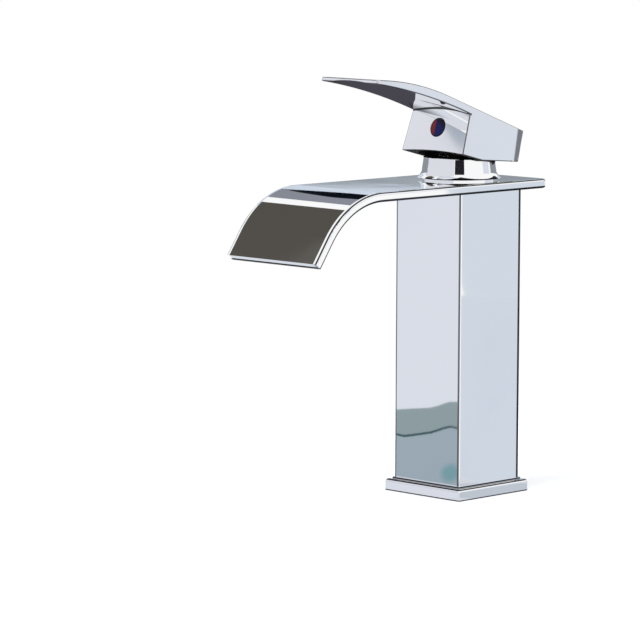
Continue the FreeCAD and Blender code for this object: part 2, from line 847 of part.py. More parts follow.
def make_cartridge_housing():
    body = new_body("cartridge_housing")
    revolve(body, [
        ("cartridge_bore", "seat_level + cartridge_base_flange"),
        ("cartridge_radius", "seat_level + cartridge_base_flange"),
        ("cartridge_radius", "housing_top"),
        ("turret_neck_radius + slip", "housing_top"),
        ("turret_neck_radius + slip", "housing_top - housing_lip"),
        ("cartridge_bore", "housing_top - housing_lip"),
    ])
    parts.append(body)


def make_turret():
    body = new_body("cartridge_turret")
    ring_half = "(turret_ring_wire + slip)"
    ring_level = "(turret_shoulder - 2 * turret_ring_wire)"
    revolve(body, [
        ("0", "moving_top + 2 * slip"),
        ("turret_radius", "moving_top + 2 * slip"),
        ("turret_radius", f"{ring_level} - {ring_half}"),
        ("turret_radius - 2 * turret_ring_wire - slip", f"{ring_level} - {ring_half}"),
        ("turret_radius - 2 * turret_ring_wire - slip", f"{ring_level} + {ring_half}"),
        ("turret_radius", f"{ring_level} + {ring_half}"),
        ("turret_radius", "turret_shoulder"),
        ("turret_neck_radius", "turret_shoulder"),
        ("turret_neck_radius", "turret_top"),
        ("0", "turret_top"),
    ])
    guide = new_sketch(body, "XY_Plane", "moving_top")
    half = "(carrier_width / 2 + slip)"
    draw_rectangle(guide, f"-1 * {half}", half, "-1 * cartridge_bore", "cartridge_bore")
    pocket(body, guide, "carrier_height + 4 * slip")
    swing = new_sketch(body, "XY_Plane", "carrier_top")
    wide = "(stem_arm * sin(close_lift) + arm_radius + 10 * slip)"
    draw_rectangle(swing, f"-1 * {wide}", wide, f"-1 * {wide}", wide)
    pocket(body, swing, "pivot_level - stem_skirt - carrier_top")
    slot = new_sketch(body, "XY_Plane", "pivot_level - stem_skirt - 2 * slip")
    long = "(stem_depth / 2 + (stem_skirt + slip) * tan(close_lift) + 5 * slip)"
    side = "(stem_width / 2 + slip)"
    draw_rectangle(slot, f"-1 * {side}", side, f"-1 * {long}", long)
    pocket(body, slot, "turret_top - pivot_level + stem_skirt + 2 * slip")
    hole = new_sketch(body, "YZ_Plane")
    draw_circle(hole, "0", "pivot_level", "pin_radius")
    pocket(body, hole, "2 * turret_radius", both=True)
    parts.append(body)


def make_turret_o_ring():
    level = "turret_shoulder - 2 * turret_ring_wire"
    parts.append(ring("turret_o_ring", "turret_ring_major", "turret_ring_wire", ("0", "0", level)))


def make_stem_pin():
    body = new_body("stem_pin")
    end = new_sketch(body, "YZ_Plane")
    draw_circle(end, "0", "pivot_level", "pin_radius")
    pad(body, end, "pin_length", both=True)
    parts.append(body)


def make_stem():
    body = new_body("cartridge_stem")
    shank = new_sketch(body, "XY_Plane", "pivot_level - stem_skirt")
    draw_rectangle(shank, "-1 * stem_width / 2", "stem_width / 2", "-1 * stem_depth / 2", "stem_depth / 2")
    pad(body, shank, "stem_rise + stem_skirt")
    arm = body.newObject("PartDesign::Revolution", "stem_arm_turned")
    outline = new_sketch(body, "XZ_Plane")
    reach = "sqrt(foot_radius * foot_radius - arm_radius * arm_radius)"
    draw_outline(outline, [
        ("0", "foot_level - foot_radius", "left", "foot_radius"),
        ("foot_radius", "foot_level", "left", "foot_radius"),
        ("arm_radius", f"foot_level + {reach}"),
        ("arm_radius", "pivot_level - stem_skirt + slip"),
        ("0", "pivot_level - stem_skirt + slip"),
    ])
    arm.Profile = outline
    arm.ReferenceAxis = (origin_feature(body, "Z_Axis"), [""])
    arm.Angle = 360
    body.Tip = arm
    document.recompute()
    hole = new_sketch(body, "YZ_Plane")
    draw_circle(hole, "0", "pivot_level", "(pin_radius + pin_clearance)")
    pocket(body, hole, "2 * stem_width", both=True)
    parts.append(body)


# Lever

def stand_at_pivot(body):
    """The lever's pieces are drawn closed, round the pivot, and turned up to where they rest."""
    body.Placement = FreeCAD.Placement(Vector(0, 0, 0), FreeCAD.Rotation(Vector(-1, 0, 0), 1))
    bind(body, "Placement.Base.z", "pivot_level")
    bind(body, "Placement.Rotation.Angle", "rest_lift")


def make_handle_outer():
    body = new_body("handle_outer")
    side = new_sketch(body, "YZ_Plane")
    draw_outline(side, [
        ("-1 * handle_front", "handle_clearance"),
        ("-1 * handle_heel", "handle_clearance"),
        ("handle_rear", "handle_rear_bottom"),
        ("handle_rear", "handle_rear_top - rear_run", "left", "handle_rear_radius * handle_rear_ease"),
        ("handle_rear - rear_run * cos(crown_lean)", "handle_rear_top + rear_run * sin(crown_lean)"),
        ("-1 * handle_crown", "handle_crown_height", "left", "crown_radius"),
        ("-1 * handle_reach", "handle_tip_height"),
        ("-1 * handle_reach", "handle_tip_height - handle_tip_thickness", "right", "handle_underside_radius"),
        ("-1 * handle_front_top", "handle_front_height"),
    ])
    pad(body, side, "2 * handle_base_width", both=True)
    top = "(handle_crown_height + handle_rear_radius)"
    low = "(handle_base_width / 2)"
    high = f"(handle_top_width / 2 - side_lean * ({top} - handle_front_height))"
    front = new_sketch(body, "XZ_Plane")
    draw_rectangle(front, "-1 * handle_base_width", "handle_base_width", "-1 * handle_base_width",
                   "handle_base_width")
    draw_outline(front, [
        (f"-1 * {low}", "handle_clearance", "right", "arch_radius"),
        (low, "handle_clearance"),
        (high, top),
        (f"-1 * {high}", top),
    ])
    pocket(body, front, "4 * handle_reach", both=True)
    plan = new_sketch(body, "XY_Plane")
    draw_rectangle(plan, "-1 * handle_reach", "handle_reach", "-2 * handle_reach", "handle_reach")
    rear = "handle_rear"
    radius = "handle_corner_radius"
    step = "(-1 * handle_front - handle_wall)"
    tip = "-1 * handle_reach"
    half_top = "(handle_top_width / 2)"
    half_tip = "(handle_tip_width / 2)"
    draw_outline(plan, [
        (f"-1 * ({low} - {radius})", rear, "left", radius),
        (f"-1 * {low}", f"{rear} - {radius}"),
        (f"-1 * {low}", step),
        (f"-1 * {half_top}", step),
        (f"-1 * {half_tip}", f"{tip} + handle_tip_radius", "left", "handle_tip_radius"),
        (f"-1 * {half_tip} + handle_tip_radius", tip),
        (f"{half_tip} - handle_tip_radius", tip, "left", "handle_tip_radius"),
        (half_tip, f"{tip} + handle_tip_radius"),
        (half_top, step),
        (low, step),
        (low, f"{rear} - {radius}", "left", radius),
        (f"{low} - {radius}", rear),
    ])
    pocket(body, plan, "4 * handle_reach", both=True)
    fillet(body, lambda edge: True, "handle_edge_radius")
    stand_at_pivot(body)
    return body


def make_brow_cutter():
    """What hollows the lever's underside where it meets the block's front face."""
    body = new_body("brow_cutter")
    across = new_sketch(body, "XZ_Plane")
    low = "(handle_front_height - handle_brow_arch)"
    draw_outline(across, [
        ("brow_half", low),
        ("brow_half", "handle_front_height", "left", "brow_radius"),
        ("-1 * brow_half", "handle_front_height"),
        ("-1 * brow_half", low),
    ])
    pad(body, across, "handle_reach")
    behind = new_sketch(body, "YZ_Plane")
    rise = "(2 * handle_brow_arch)"
    top = f"(handle_front_height + {rise})"
    draw_outline(behind, [
        ("-1 * handle_front", "handle_clearance"),
        ("handle_rear", "handle_clearance"),
        ("handle_rear", top),
        (f"{rise} * tan(face_lean) - handle_front_top", top),
    ])
    pocket(body, behind, "2 * handle_base_width", both=True)
    stand_at_pivot(body)
    return body


def make_handle_cavity():
    body = new_body("handle_cavity")
    plan = new_sketch(body, "XY_Plane")
    half = "(handle_base_width / 2 - handle_wall)"
    draw_rectangle(plan, f"-1 * {half}", half, "-1 * handle_front + handle_wall", "handle_rear - handle_wall",
                   "cavity_corner_radius")
    feature = pad(body, plan, "handle_roof")
    bind(feature, "TaperAngle", "-1 * atan(side_lean)")
    stand_at_pivot(body)
    document.recompute()
    return body


def lean_at_plug(item, along="0"):
    """Turn an upright piece to face out of the block's front, this far out along the plug's axis."""
    item.Placement = FreeCAD.Placement(Vector(0, 0, 0), FreeCAD.Rotation(Vector(1, 0, 0), 1))
    bind(item, "Placement.Rotation.Angle", "90 - plug_lean")
    bind(item, "Placement.Base.y", f"plug_y - ({along}) * cos(plug_lean)")
    bind(item, "Placement.Base.z", f"plug_z + ({along}) * sin(plug_lean)")


def make_lever_handle():
    outer = make_handle_outer()
    cavity = make_handle_cavity()
    boss_level = "pivot_level + socket_boss_drop"
    boss = cylinder("socket_boss", "socket_boss_radius", "handle_base_width", ("0", "0", boss_level))
    space = cut("handle_space", cavity, [boss])
    socket = document.addObject("Part::Box", "stem_socket")
    bind(socket, "Length", "stem_width + 2 * socket_slip")
    bind(socket, "Width", "stem_depth + 2 * socket_slip")
    bind(socket, "Height", "stem_rise + socket_slip")
    bind(socket, "Placement.Base.x", "-1 * stem_width / 2 - socket_slip")
    bind(socket, "Placement.Base.y", "-1 * stem_depth / 2 - socket_slip")
    bind(socket, "Placement.Base.z", "pivot_level")
    bore = cylinder("set_screw_bore", "set_screw_radius + set_screw_bore_slip", "handle_front")
    lean_at_plug(bore, "-1 * handle_front + stem_depth / 2")
    recess = cylinder("plug_recess", "plug_radius + plug_recess_slip", "plug_thickness + plug_radius")
    lean_at_plug(recess, "-1 * plug_thickness")
    bevel = document.addObject("Part::Cone", "plug_recess_bevel")
    bind(bevel, "Radius1", "plug_radius + plug_recess_slip")
    bind(bevel, "Radius2", "plug_radius + plug_recess_slip + 2 * plug_bevel")
    bind(bevel, "Height", "2 * plug_bevel")
    lean_at_plug(bevel, "-1 * plug_bevel")
    parts.append(cut("lever_handle", outer, [make_brow_cutter(), space, socket, bore, recess, bevel]))


def make_indicator_plug():
    body = new_body("indicator_plug")
    dome = "(plug_radius * plug_radius + plug_crown * plug_crown) / (2 * plug_crown)"
    revolve(body, [
        ("0", "-1 * plug_thickness"),
        ("plug_radius", "-1 * plug_thickness"),
        ("plug_radius", "0", "left", dome),
        ("0", "plug_crown"),
    ])
    lean_at_plug(body)
    document.recompute()
    parts.append(body)


def make_set_screw():
    body = new_body("handle_set_screw")
    inward = "(-1 * plug_y - stem_depth / 2) / cos(plug_lean)"
    reach = f"(-1 * {inward} + set_screw_radius * tan(plug_lean) + slip)"
    end = f"{reach} + set_screw_length"
    revolve(body, [("0", reach), ("set_screw_radius", reach), ("set_screw_radius", end), ("0", end)])
    key = new_sketch(body, "XY_Plane", f"{end} - hex_socket_depth")
    corners = []
    for number in range(6):
        angle = 60 * number
        corners.append((f"hex_socket_radius * cos({angle})", f"hex_socket_radius * sin({angle})"))
    draw_outline(key, corners)
    pocket(body, key, "hex_socket_depth")
    lean_at_plug(body)
    document.recompute()
    parts.append(body)


make_base_flange()
make_deck_gasket()
make_column_shell()
make_mounting_block()
make_block_screws()
make_riser("hot_riser_tube", inlet_places[0])
make_riser("cold_riser_tube", inlet_places[1])
make_riser_o_rings()
make_valve_body()
make_spout_seals()
make_spout_tray()
make_spout_top_plate()
make_cartridge_nut()
make_bonnet()
make_bonnet_seal()
make_cartridge_base()
make_inlet_seals()
make_fixed_disc()
make_moving_disc()
make_disc_carrier()
make_cartridge_housing()
make_turret()
make_turret_o_ring()
make_stem_pin()
make_stem()
make_lever_handle()
make_set_screw()
make_indicator_plug()

document.recompute()
for item in document.Objects:
    if "Invalid" in item.State or "Error" in item.State:
        raise RuntimeError(f"{item.Name}: {item.State}")
os.makedirs("parts", exist_ok=True)
for part in parts:
    shape = part.Shape
    if shape.isNull() or not shape.isValid():
        raise RuntimeError(f"{part.Label} is not a valid solid")
for part in parts:
    part.Shape.exportStep(f"parts/{part.Label}.step")
    print(part.Label, len(part.Shape.Solids), round(part.Shape.Volume, 1))
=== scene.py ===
import bpy
import json
import math
from mathutils import Matrix, Vector


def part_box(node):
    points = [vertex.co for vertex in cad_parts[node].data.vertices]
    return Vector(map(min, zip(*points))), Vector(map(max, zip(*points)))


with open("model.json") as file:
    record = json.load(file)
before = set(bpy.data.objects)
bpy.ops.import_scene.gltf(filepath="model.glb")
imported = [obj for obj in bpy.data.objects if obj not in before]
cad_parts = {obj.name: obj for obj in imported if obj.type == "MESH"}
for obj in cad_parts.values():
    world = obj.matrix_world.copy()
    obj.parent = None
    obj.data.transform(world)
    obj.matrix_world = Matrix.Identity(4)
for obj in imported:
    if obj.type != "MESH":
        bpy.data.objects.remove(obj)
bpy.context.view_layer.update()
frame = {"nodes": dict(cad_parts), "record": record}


def linear(red, green, blue):  # a colour listed in screen values, as the shader wants it
    parts = []
    for part in (red / 255, green / 255, blue / 255):
        parts.append(part / 12.92 if part <= 0.04045 else ((part + 0.055) / 1.055) ** 2.4)
    return parts


class Signal:  # one value inside a material, so that shader maths reads as plain maths
    def __init__(self, finish, socket):
        self.finish = finish
        self.socket = socket

    def __add__(self, other):
        return self.finish.maths("ADD", self, other)

    def __radd__(self, other):
        return self.finish.maths("ADD", other, self)

    def __sub__(self, other):
        return self.finish.maths("SUBTRACT", self, other)

    def __rsub__(self, other):
        return self.finish.maths("SUBTRACT", other, self)

    def __mul__(self, other):
        return self.finish.maths("MULTIPLY", self, other)

    def __rmul__(self, other):
        return self.finish.maths("MULTIPLY", other, self)

    def __truediv__(self, other):
        return self.finish.maths("DIVIDE", self, other)

    def __rtruediv__(self, other):
        return self.finish.maths("DIVIDE", other, self)

    def __gt__(self, other):
        return self.finish.maths("GREATER_THAN", self, other)

    def __lt__(self, other):
        return self.finish.maths("LESS_THAN", self, other)

    def __abs__(self):
        return self.finish.maths("ABSOLUTE", self)


class Finish:  # a material, or the air of the studio, built from nodes
    def __init__(self, name, kind="Material"):
        self.holder = (bpy.data.worlds if kind == "World" else bpy.data.materials).new(name)
        self.holder.use_nodes = True
        self.tree = self.holder.node_tree
        self.tree.nodes.clear()
        self.output = self.tree.nodes.new("ShaderNodeOutput" + kind)

    def feed(self, socket, what):
        if isinstance(what, Signal):
            self.tree.links.new(what.socket, socket)
        elif isinstance(what, (list, tuple)) and socket.type == "RGBA":
            socket.default_value = (*what, 1.0)
        else:
            socket.default_value = what

    def node(self, kind, settings=None, inputs=None, give=0):
        made = self.tree.nodes.new(kind)
        for key, what in (settings or {}).items():
            setattr(made, key, what)
        for key, what in (inputs or {}).items():
            self.feed(made.inputs[key], what)
        return Signal(self, made.outputs[give])

    def maths(self, operation, *values):
        return self.node("ShaderNodeMath", {"operation": operation}, dict(enumerate(values)))

    def most(self, value, *others):
        for other in others:
            value = self.maths("MAXIMUM", value, other)
        return value

    def vector(self, operation, *values, give=0):
        inputs = dict(enumerate(values))
        return self.node("ShaderNodeVectorMath", {"operation": operation}, inputs, give)

    def length(self, vector):
        return self.vector("LENGTH", vector, give="Value")

    def reach(self, vector, direction):  # how far a vector goes in a direction
        return self.vector("DOT_PRODUCT", vector, direction, give="Value")

    def axis(self, vector, letter):
        return self.node("ShaderNodeSeparateXYZ", None, {0: vector}, letter)

    def blend(self, share, first, second):  # of two colours
        inputs = {0: share, 6: first, 7: second}
        return self.node("ShaderNodeMix", {"data_type": "RGBA"}, inputs, 2)

    def place(self):
        return self.node("ShaderNodeTexCoord", give="Object")

    def facing(self):
        return self.node("ShaderNodeTexCoord", give="Normal")

    def noise(self, scale, detail, where=None):
        inputs = {"Vector": where or self.place(), "Scale": scale, "Detail": detail}
        return self.node("ShaderNodeTexNoise", None, inputs)

    def stretch(self, low, high, value):  # 0 at low, 1 at high, smooth between them
        inputs = {"Value": value, "From Min": low, "From Max": high}
        return self.node("ShaderNodeMapRange", {"interpolation_type": "SMOOTHSTEP"}, inputs)

    def under(self, edge, softness, value):  # 1 below the edge, and 0 past its soft side
        return 1 - self.stretch(edge, edge + softness, value)

    def bump(self, height, depth=1.0):  # at a depth of 1 the height is in metres
        return self.node("ShaderNodeBump", None, {"Height": height, "Distance": depth})

    def emission(self, colour, strength=1.0):
        return self.node("ShaderNodeEmission", None, {"Color": colour, "Strength": strength})

    def ray(self, kind):
        return self.node("ShaderNodeLightPath", give="Is " + kind + " Ray")

    def mixShader(self, share, first, second):
        return self.node("ShaderNodeMixShader", None, {0: share, 1: first, 2: second})

    def show(self, shader):
        self.tree.links.new(shader.socket, self.output.inputs["Surface"])
        return self.holder

    def surface(self, **inputs):
        inputs = {key.replace("_", " "): what for key, what in inputs.items()}
        return self.show(self.node("ShaderNodeBsdfPrincipled", None, inputs))


# Each noise below is its cells per metre and its detail. Depths and places are in metres.

chrome = {
    "colour": (0.945, 0.95, 0.955),
    "smudgeColour": (0.915, 0.92, 0.93),
    "smudgeNoise": (14.0, 5.0),     # faint polish marks
    "smudgeRange": (0.45, 0.7),
    "smudgeRoughness": 0.02,
    "grainNoise": (900.0, 2.0),
    "grainRoughness": 0.01,
    "roughness": 0.022,
    "rippleNoise": (38.0, 1.0),
    "ripple": 0.00001,              # the slight waviness of plating
    # dark lines painted along rounded edges, as painted reflections of what the edges would mirror
    "paintedLineColour": (0.042, 0.045, 0.052),
    "paintedLineRoughness": 0.2,
    "lineFrom": 0.06,               # how far sideways a rounded edge faces where its painted line starts
    "lineFadeIn": 0.1,
    "lineTo": 0.985,                # and where it ends
    "lineFadeOut": 0.08,
}


def plating(finish, relief=0.0):  # colour, roughness and waviness that every plated piece shares
    smudge = finish.stretch(*chrome["smudgeRange"], finish.noise(*chrome["smudgeNoise"]))
    grain = finish.noise(*chrome["grainNoise"])
    roughness = chrome["roughness"] + smudge * chrome["smudgeRoughness"]
    roughness = roughness + grain * chrome["grainRoughness"]
    colour = finish.blend(smudge, chrome["colour"], chrome["smudgeColour"])
    height = finish.noise(*chrome["rippleNoise"]) * chrome["ripple"] + relief
    return colour, roughness, finish.bump(height)


def sidewaysFacing(finish):
    return abs(finish.axis(finish.facing(), "X"))


def paintedEdgeLine(finish, low, high):  # a painted dark reflection line on the rounded edges beside a side face
    sideways = sidewaysFacing(finish)
    starts = finish.stretch(low, low + chrome["lineFadeIn"], sideways)
    return starts * (1 - finish.stretch(high - chrome["lineFadeOut"], high, sideways))


def platedSurface(finish, line=None, relief=0.0):  # line is where a painted dark reflection line runs
    colour, roughness, normal = plating(finish, relief)
    if line is not None:
        colour = finish.blend(line, colour, chrome["paintedLineColour"])
        roughness = roughness + line * chrome["paintedLineRoughness"]
    return finish.surface(Base_Color=colour, Metallic=1.0, Roughness=roughness, Normal=normal)


def makeChrome():
    return platedSurface(Finish("chrome"))


columnChrome = {
    "half": 0.0225,         # of the square tube
    "frontLine": 0.00115,   # width of the painted dark reflection line beside an upright edge, on the front and back
    "frontStrength": 0.85,
    "sideLine": 0.0019,     # and on the sides, along their rear edge
    "softness": 0.0003,
}


def makeColumnChrome():  # with a painted dark reflection line along its upright edges
    finish = Finish("columnChrome")
    half, soft = columnChrome["half"], columnChrome["softness"]
    east, north = (finish.axis(finish.place(), letter) for letter in "XY")
    onFront = abs(north) > abs(east)
    frontLine = finish.under(columnChrome["frontLine"], soft, half - abs(east))
    sideLine = finish.under(columnChrome["sideLine"], soft, half - north)
    # painted dark reflection lines beside the upright edges
    line = onFront * frontLine * columnChrome["frontStrength"] + (1 - onFront) * sideLine
    return platedSurface(finish, line)


flangeChrome = {
    "seatLine": 0.0005,             # top of the painted contact shadow where the flange meets the deck
    "step": (0.00615, 0.0068),      # from and to which height the step under the column has a painted dark reflection line
    "shoulder": (0.0054, 0.0058),   # and the painted dark line below it
    "softness": 0.00015,
}


def makeFlangeChrome():
    finish = Finish("flangeChrome")
    height = finish.axis(finish.place(), "Z")
    soft = flangeChrome["softness"]
    # painted contact shadow at the seat, and painted dark reflection lines on the step
    line = finish.under(flangeChrome["seatLine"], soft, height)
    for low, high in (flangeChrome["step"], flangeChrome["shoulder"]):
        starts = finish.stretch(low - soft, low, height)
        line = finish.most(line, starts * finish.under(high, soft, height))
    return platedSurface(finish, line)


spoutChrome = {
    "half": 0.031,          # of the spout's width
    "rollWidth": 0.0021,    # the polished roll-off along both long edges
    "rollSlope": 0.23,
    "edgeFrom": 0.2,        # how far sideways the rounded edge faces where its painted dark line starts
    "edgeTo": 0.86,         # and ends
    "bendStart": -0.087,    # where the spout starts to curl down, and the curl's middle
    "bendCentre": 0.1134,
    "bendRadius": 0.0466,
    "bendAngle": 55.0,
    "lowerLine": 0.0034,    # depth of the painted shade and reflection line along the lower edge, under the top face
    "lowerSoftness": 0.0001,
    "mouth": 0.0112,        # how far down the straight lip the painted shade of the mouth starts
    "mouthSoftness": 0.0003,
    "mouthColour": (0.01, 0.01, 0.012),
    "mouthRoughness": 0.4,
}


def fromCurl(finish):
    curl = (0.0, spoutChrome["bendStart"], spoutChrome["bendCentre"])
    return finish.vector("SUBTRACT", finish.place(), curl)


def downLip(finish, offset):  # distance down the straight lip, from where the curl ends
    turn = math.radians(spoutChrome["bendAngle"])
    return finish.reach(offset, (0.0, -math.cos(turn), -math.sin(turn)))


def depthInSpout(finish):  # under the curled top face
    offset = fromCurl(finish)
    ahead = finish.most(finish.reach(offset, (0.0, -1.0, 0.0)), 0)
    height = finish.reach(offset, (0.0, 0.0, 1.0))
    past = finish.most(downLip(finish, offset), 0)
    radius = finish.maths("SQRT", ahead * ahead + height * height - past * past)
    return spoutChrome["bendRadius"] - radius


def makeSpoutChrome():
    finish = Finish("spoutChrome")
    flatHalf = spoutChrome["half"] - spoutChrome["rollWidth"]
    beyond = finish.most(abs(finish.axis(finish.place(), "X")) - flatHalf, 0)
    # painted dark lines on the rounded edges and painted shade along the lower edge
    start, soft = spoutChrome["lowerLine"], spoutChrome["lowerSoftness"]
    lower = finish.stretch(start - soft, start + soft, depthInSpout(finish))
    line = finish.most(paintedEdgeLine(finish, spoutChrome["edgeFrom"], spoutChrome["edgeTo"]), lower)
    return platedSurface(finish, line, beyond * -spoutChrome["rollSlope"])


def makeTrayChrome():  # plated like the spout, with painted shade, dark and rough, inside its mouth
    finish = Finish("trayChrome")
    colour, roughness, normal = plating(finish)
    start, soft = spoutChrome["mouth"], spoutChrome["mouthSoftness"]
    mouth = finish.stretch(start, start + soft, downLip(finish, fromCurl(finish)))
    return finish.surface(
        Base_Color=finish.blend(mouth, colour, spoutChrome["mouthColour"]),
        Metallic=1 - mouth,
        Roughness=roughness + mouth * spoutChrome["mouthRoughness"],
        Normal=normal,
    )


leverChrome = {
    "pivot": 0.166,         # height of the pin that the lever turns on
    "lift": 14.0,           # degrees that the lever stands open at rest
    "sides": 0.0203,        # half of the block under the paddle, less half a wall
    "sideLean": 0.061,
    "front": 0.02065,       # from the pin to the middle of the front wall
    "frontLean": 0.0755,
    "rear": 0.0225,         # and of the rear wall, with its rounded corners
    "corner": 0.0062,
    "roof": 0.0205,         # and of the top
    # painted shade: near-black inside the hollow and round the block's lower rim
    "hollowShadeColour": (0.008, 0.008, 0.01),
    "hollowShadeRoughness": 0.6,
    "rimFacing": 0.6,       # the block's lower rim faces down by this much or more
    "rimFront": -0.0225,
    "rimTop": 0.012,
    # the lines below are painted shade and painted reflections on the lever's edges
    "edgeStrength": 0.9,
    "browTop": 0.0263,      # the painted shade line along the shallow arch over the front face
    "browRadius": 0.1001,
    "browWidth": 0.00055,
    "browFront": -0.0212,
    "browBack": -0.0188,
    "stripFrom": 0.0185,    # painted dark strip, as shade, under the paddle's side edges
    "stripFacing": 0.5,
    "stripBack": -0.02,
    "tip": -0.0872,         # past this the painted edge lines are fainter, round the tip's corners
    "tipStrength": 0.35,
    "tipFace": -0.0882,
    "tipLine": 0.0257,      # top of the painted shade line along the tip's lower edge
    "rearLine": 0.0163,     # the painted dark reflection band at the rear of the sides
    "rearSoftness": 0.0012,
    "rearFacing": 0.9,
    "rearStrength": 0.85,
}


def placeOnLever(finish):  # to the right of the pin, back along the lever, and up from it
    turn = math.radians(leverChrome["lift"])
    offset = finish.vector("SUBTRACT", finish.place(), (0.0, 0.0, leverChrome["pivot"]))
    along = finish.reach(offset, (0.0, math.cos(turn), -math.sin(turn)))
    height = finish.reach(offset, (0.0, math.sin(turn), math.cos(turn)))
    return finish.axis(offset, "X"), along, height


def leverHollow(finish, east, along, height):
    corner = leverChrome["corner"]
    width = abs(east) + height * leverChrome["sideLean"]
    forward = height * leverChrome["frontLean"] - along
    sideways = finish.most(width - (leverChrome["sides"] - corner), 0)
    backward = finish.most(along - (leverChrome["rear"] - corner), 0)
    inCorner = (sideways * sideways + backward * backward) < corner * corner
    return inCorner * (forward < leverChrome["front"]) * (height < leverChrome["roof"])


# painted dark lines: reflections on rounded edges, and shade under the brow, paddle and tip
def paintedLeverLines(finish, east, along, height, downward):
    arch = leverChrome["browTop"] - east * east / (2 * leverChrome["browRadius"])
    onBrow = (along < leverChrome["browBack"]) * (along > leverChrome["browFront"])
    brow = (abs(height - arch) < leverChrome["browWidth"]) * onBrow
    strip = (downward > leverChrome["stripFacing"]) * (along < leverChrome["stripBack"])
    strip = strip * (abs(east) > leverChrome["stripFrom"])
    start = leverChrome["rearLine"]
    rear = finish.stretch(start, start + leverChrome["rearSoftness"], along)
    onSide = sidewaysFacing(finish) > leverChrome["rearFacing"]
    rear = rear * onSide * leverChrome["rearStrength"]
    tip = (along < leverChrome["tipFace"]) * (height < leverChrome["tipLine"])
    faint = leverChrome["tipStrength"]
    edges = paintedEdgeLine(finish, chrome["lineFrom"], chrome["lineTo"])
    edges = edges * (faint + (along > leverChrome["tip"]) * (1 - faint))
    return finish.most(edges, brow, strip, rear, tip) * leverChrome["edgeStrength"]


def makeLeverChrome():  # plated outside; inside the hollow and round its rim unpolished, and painted near-black as shade
    finish = Finish("leverChrome")
    colour, roughness, normal = plating(finish)
    east, along, height = placeOnLever(finish)
    turn = math.radians(leverChrome["lift"])
    downward = finish.reach(finish.facing(), (0.0, -math.sin(turn), -math.cos(turn)))
    rim = (downward > leverChrome["rimFacing"]) * (along > leverChrome["rimFront"])
    rim = rim * (height < leverChrome["rimTop"])
    # painted shade inside the hollow and round its rim
    hollowShade = finish.most(leverHollow(finish, east, along, height), rim)
    line = paintedLeverLines(finish, east, along, height, downward)
    lined = finish.blend(line, colour, chrome["paintedLineColour"])
    return finish.surface(
        Base_Color=finish.blend(hollowShade, lined, leverChrome["hollowShadeColour"]),
        Metallic=1 - hollowShade,
        Roughness=roughness + hollowShade * leverChrome["hollowShadeRoughness"],
        Normal=normal,
    )


def patchySurface(finish, look, patch, relief=None):  # one stuff in two shades
    inputs = {
        "Base_Color": finish.blend(patch, look["colour"], look["patchColour"]),
        "Metallic": look["metallic"],
        "Roughness": look["roughness"] + patch * look["patchRoughness"],
    }
    if relief is not None:
        inputs["Normal"] = finish.bump(relief, look["depth"])
    return finish.surface(**inputs)


brass = {
    "colour": (0.72, 0.52, 0.26),
    "patchColour": (0.52, 0.36, 0.17),
    "stainNoise": (160.0, 4.0),
    "stainRange": (0.4, 0.75),
    "metallic": 1.0,
    "roughness": 0.28,
    "patchRoughness": 0.16,
    "toolMarks": 520.0,     # how closely the rings of the cutting tool stand
    "toolWander": 0.6,
    "depth": 0.00002,
}


def makeBrass():
    finish = Finish("turnedBrass")
    stain = finish.stretch(*brass["stainRange"], finish.noise(*brass["stainNoise"]))
    turning = finish.node(
        "ShaderNodeTexWave", {"wave_type": "BANDS", "bands_direction": "Z"},
        {"Vector": finish.place(), "Scale": brass["toolMarks"], "Distortion": brass["toolWander"]})
    return patchySurface(finish, brass, stain, turning)


rubber = {
    "colour": (0.018, 0.018, 0.02),
    "patchColour": (0.055, 0.055, 0.058),
    "bloomNoise": (240.0, 4.0),
    "bloomRange": (0.5, 0.8),
    "metallic": 0.0,
    "roughness": 0.62,
    "patchRoughness": 0.15,
    "skinNoise": (2600.0, 2.0),
    "depth": 0.00003,
}


def makeRubber():
    finish = Finish("blackRubber")
    bloom = finish.stretch(*rubber["bloomRange"], finish.noise(*rubber["bloomNoise"]))
    return patchySurface(finish, rubber, bloom, finish.noise(*rubber["skinNoise"]))


steel = {
    "colour": (0.60, 0.60, 0.59),
    "patchColour": (0.47, 0.47, 0.47),
    "grainNoise": (420.0, 3.0),
    "grainStretch": (1.0, 1.0, 12.0),
    "metallic": 1.0,
    "roughness": 0.24,
    "patchRoughness": 0.14,
    "depth": 0.00001,
}


def makeSteel():
    finish = Finish("stainlessSteel")
    where = finish.vector("MULTIPLY", finish.place(), steel["grainStretch"])
    grain = finish.noise(*steel["grainNoise"], where)
    return patchySurface(finish, steel, grain, grain)


ceramic = {
    "colour": (0.84, 0.83, 0.80),
    "patchColour": (0.70, 0.69, 0.66),
    "fleckNoise": (1900.0, 2.0),
    "fleckRange": (0.62, 0.72),
    "metallic": 0.0,
    "roughness": 0.16,
    "patchRoughness": 0.08,
}


def makeCeramic():
    finish = Finish("lappedCeramic")
    fleck = finish.stretch(*ceramic["fleckRange"], finish.noise(*ceramic["fleckNoise"]))
    return patchySurface(finish, ceramic, fleck)


cartridge = {
    "colour": (0.62, 0.64, 0.66),
    "patchColour": (0.50, 0.52, 0.55),
    "cloudNoise": (90.0, 3.0),
    "metallic": 0.0,
    "roughness": 0.42,
    "patchRoughness": 0.1,
    "skinNoise": (3200.0, 2.0),
    "depth": 0.00002,
}


def makeCartridgePlastic():
    finish = Finish("cartridgePlastic")
    cloud = finish.noise(*cartridge["cloudNoise"])
    return patchySurface(finish, cartridge, cloud, finish.noise(*cartridge["skinNoise"]))


# brass painted near-black as painted shade, with a patchy tone
shadedBrass = {
    "colour": (0.05, 0.04, 0.028),
    "patchColour": (0.025, 0.02, 0.016),
    "stainNoise": (210.0, 4.0),
    "stainRange": (0.35, 0.7),
    "metallic": 1.0,
    "roughness": 0.5,
    "patchRoughness": 0.2,
    "depth": 0.00002,
}


